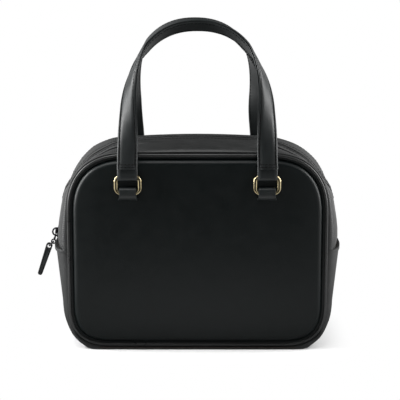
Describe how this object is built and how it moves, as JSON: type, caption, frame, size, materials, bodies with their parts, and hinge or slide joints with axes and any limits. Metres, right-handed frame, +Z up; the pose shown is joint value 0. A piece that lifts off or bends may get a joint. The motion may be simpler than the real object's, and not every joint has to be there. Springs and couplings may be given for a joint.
{
  "type": "top-handle bag",
  "caption": "Small zipped leather bag with piped panels, a bulging gusset and arched strap handles on metal rings.",
  "frame": {"origin": "middle of the flat base, on the surface the bag stands on", "axes": "+Z up; the front faces -Y; the zip slider hangs at the left, -X"},
  "size_m": [0.3203, 0.1368, 0.3349],
  "materials": {
    "leather": "smooth, soft sheen",
    "lining": "matt weave",
    "board": "matt",
    "zip_tape": "matt twill",
    "zip_nylon": "satin",
    "ring_metal": "polished pale gold",
    "zip_metal": "dark gunmetal"
  },
  "bodies": {
    "bag": {"front_panel_lower": "leather", "back_panel_lower": "leather", "front_piping_lower": "leather", "back_piping_lower": "leather", "front_lining_lower": "lining", "back_lining_lower": "lining", "lower_gusset": "leather", "gusset_lining": "lining", "left_gusset_binding": "leather", "right_gusset_binding": "leather", "base_board": "board", "front_zip_stop": "zip_metal", "back_zip_stop": "zip_metal", "zip_end_stop": "zip_metal"},
    "front_mouth": {"front_panel_upper": "leather", "front_piping_upper": "leather", "front_lining_upper": "lining", "front_zip_strip": "leather", "front_zip_tape": "zip_tape", "front_zip_coil": "zip_nylon", "front_left_tab": "leather", "front_right_tab": "leather"},
    "back_mouth": {"back_panel_upper": "leather", "back_piping_upper": "leather", "back_lining_upper": "lining", "back_zip_strip": "leather", "back_zip_tape": "zip_tape", "back_zip_coil": "zip_nylon", "back_left_tab": "leather", "back_right_tab": "leather"},
    "front_rings": {"front_left_ring": "ring_metal", "front_right_ring": "ring_metal"},
    "back_rings": {"back_left_ring": "ring_metal", "back_right_ring": "ring_metal"},
    "front_handle": {"front_handle_strap": "leather", "front_handle_backing": "leather"},
    "back_handle": {"back_handle_strap": "leather", "back_handle_backing": "leather"},
    "zip_slider": {"zip_slider": "zip_metal", "zip_slider_bail": "zip_metal"},
    "pull_link": {"zip_pull_link": "zip_metal"},
    "zip_pull": {"zip_pull_ring": "zip_metal", "zip_pull_leather": "leather"}
  },
  "joints": [
    {"name": "front_mouth", "type": "hinge", "parent": "bag", "child": "front_mouth", "pos_m": [0, -0.0577, 0.1], "axis": [1, 0, 0], "range_deg": [0, 20], "deforming": ["front_zip_strip", "front_zip_tape", "front_zip_coil"]},
    {"name": "back_mouth", "type": "hinge", "parent": "bag", "child": "back_mouth", "pos_m": [0, 0.0577, 0.1], "axis": [-1, 0, 0], "range_deg": [0, 20], "deforming": ["back_zip_strip", "back_zip_tape", "back_zip_coil"]},
    {"name": "front_ring_turn", "type": "hinge", "parent": "front_mouth", "child": "front_rings", "pos_m": [0, -0.0627, 0.16565], "axis": [1, 0, 0], "range_deg": [0, 75]},
    {"name": "back_ring_turn", "type": "hinge", "parent": "back_mouth", "child": "back_rings", "pos_m": [0, 0.0627, 0.16565], "axis": [-1, 0, 0], "range_deg": [0, 75]},
    {"name": "front_handle_swing", "type": "hinge", "parent": "front_rings", "child": "front_handle", "pos_m": [0, -0.0627, 0.18395], "axis": [1, 0, 0], "range_deg": [0, 95]},
    {"name": "back_handle_swing", "type": "hinge", "parent": "back_rings", "child": "back_handle", "pos_m": [0, 0.0627, 0.18395], "axis": [-1, 0, 0], "range_deg": [0, 95]},
    {"name": "zip_slide", "type": "slide", "parent": "bag", "child": "zip_slider", "axis": [0.1446, 0, 0.9895], "range_m": [0, 0.04]},
    {"name": "link_swing", "type": "hinge", "parent": "zip_slider", "child": "pull_link", "pos_m": [-0.1495, 0, 0.11188], "axis": [0, 1, 0], "range_deg": [-1, 100]},
    {"name": "pull_swing", "type": "hinge", "parent": "pull_link", "child": "zip_pull", "pos_m": [-0.15296, 0, 0.10143], "axis": [0, 1, 0], "range_deg": [-20, 60]}
  ]
}
